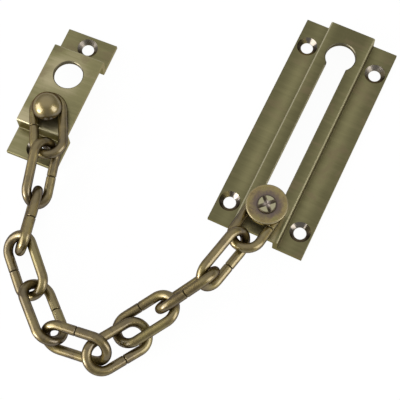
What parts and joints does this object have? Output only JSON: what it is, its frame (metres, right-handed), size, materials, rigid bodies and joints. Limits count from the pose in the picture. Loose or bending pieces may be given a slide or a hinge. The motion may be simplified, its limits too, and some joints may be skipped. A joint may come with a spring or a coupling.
{
  "type": "door chain",
  "caption": "Door chain with a keyhole track plate, a sliding stud, bent wire links and a raised staple plate with a ball stud.",
  "frame": {"origin": "middle of the track plate's four screw holes, on the plate's back", "axes": "+Z out of the plates' fronts, +Y along the track from the slot's end to the entry hole, +X to the right seen from the front; both plates lie on Z = 0 with the chain beside them"},
  "size_m": [0.1282, 0.172, 0.0239],
  "materials": {
    "plates": "antique brass, brushed, rubbed lighter on the bends",
    "turned": "antique brass, turned and polished",
    "wire": "antique brass, drawn wire"
  },
  "bodies": {
    "track": {"track_plate": "plates"},
    "stud": {"stud_post": "turned", "stud_head": "turned"},
    "link_11": {"link_11": "wire"},
    "link_10": {"link_10": "wire"},
    "link_09": {"link_09": "wire"},
    "link_08": {"link_08": "wire"},
    "link_07": {"link_07": "wire"},
    "link_06": {"link_06": "wire"},
    "link_05": {"link_05": "wire"},
    "link_04": {"link_04": "wire"},
    "link_03": {"link_03": "wire"},
    "link_02": {"link_02": "wire"},
    "link_01": {"link_01": "wire"},
    "staple": {"staple_plate": "plates", "ball_stud": "turned"}
  },
  "joints": [
    {"name": "stud_slide", "type": "slide", "parent": "track", "child": "stud", "axis": [0, 1, 0], "range_m": [0, 0.07372]},
    {"name": "stud_swivel", "type": "hinge", "parent": "stud", "child": "link_11", "pos_m": [0.00047, -0.03792, 0.0125], "axis": [0, 0, -1], "range_deg": [-90, 45]},
    {"name": "hook_10", "type": "hinge", "parent": "link_11", "child": "link_10", "pos_m": [-0.0015, -0.0523, 0.0154], "axis": [0, 0, 1], "range_deg": [-43, 45]},
    {"name": "hook_09", "type": "hinge", "parent": "link_10", "child": "link_09", "pos_m": [-0.00875, -0.07226, 0.01431], "axis": [0, 0, -1], "range_deg": [-9, 14]},
    {"name": "hook_08", "type": "hinge", "parent": "link_09", "child": "link_08", "pos_m": [-0.01785, -0.08943, 0.00876], "axis": [0, 0, -1], "range_deg": [-45, 19]},
    {"name": "hook_07", "type": "hinge", "parent": "link_08", "child": "link_07", "pos_m": [-0.02736, -0.10122, 0.00738], "axis": [0, 0, 1], "range_deg": [-18, 7]},
    {"name": "hook_06", "type": "hinge", "parent": "link_07", "child": "link_06", "pos_m": [-0.03157, -0.115, 0.00899], "axis": [0, 0, 1], "range_deg": [-27, 27]},
    {"name": "hook_05", "type": "hinge", "parent": "link_06", "child": "link_05", "pos_m": [-0.05297, -0.11443, 0.00735], "axis": [0, 0, 1], "range_deg": [-22, 45]},
    {"name": "hook_04", "type": "hinge", "parent": "link_05", "child": "link_04", "pos_m": [-0.06459, -0.10109, 0.00589], "axis": [0, 0, 1], "range_deg": [-4, 40]},
    {"name": "hook_03", "type": "hinge", "parent": "link_04", "child": "link_03", "pos_m": [-0.07969, -0.09001, 0.00774], "axis": [0, 0, -1], "range_deg": [-6, 41]},
    {"name": "hook_02", "type": "hinge", "parent": "link_03", "child": "link_02", "pos_m": [-0.08412, -0.07058, 0.00996], "axis": [0, 0, -1], "range_deg": [-7, 30]},
    {"name": "hook_01", "type": "hinge", "parent": "link_02", "child": "link_01", "pos_m": [-0.08846, -0.04926, 0.01132], "axis": [0, 0, 1], "range_deg": [-45, 32]},
    {"name": "ball_swivel", "type": "hinge", "parent": "link_01", "child": "staple", "pos_m": [-0.09527, -0.03644, 0.01132], "axis": [0, 0, -1], "range_deg": [-60, 60]}
  ]
}
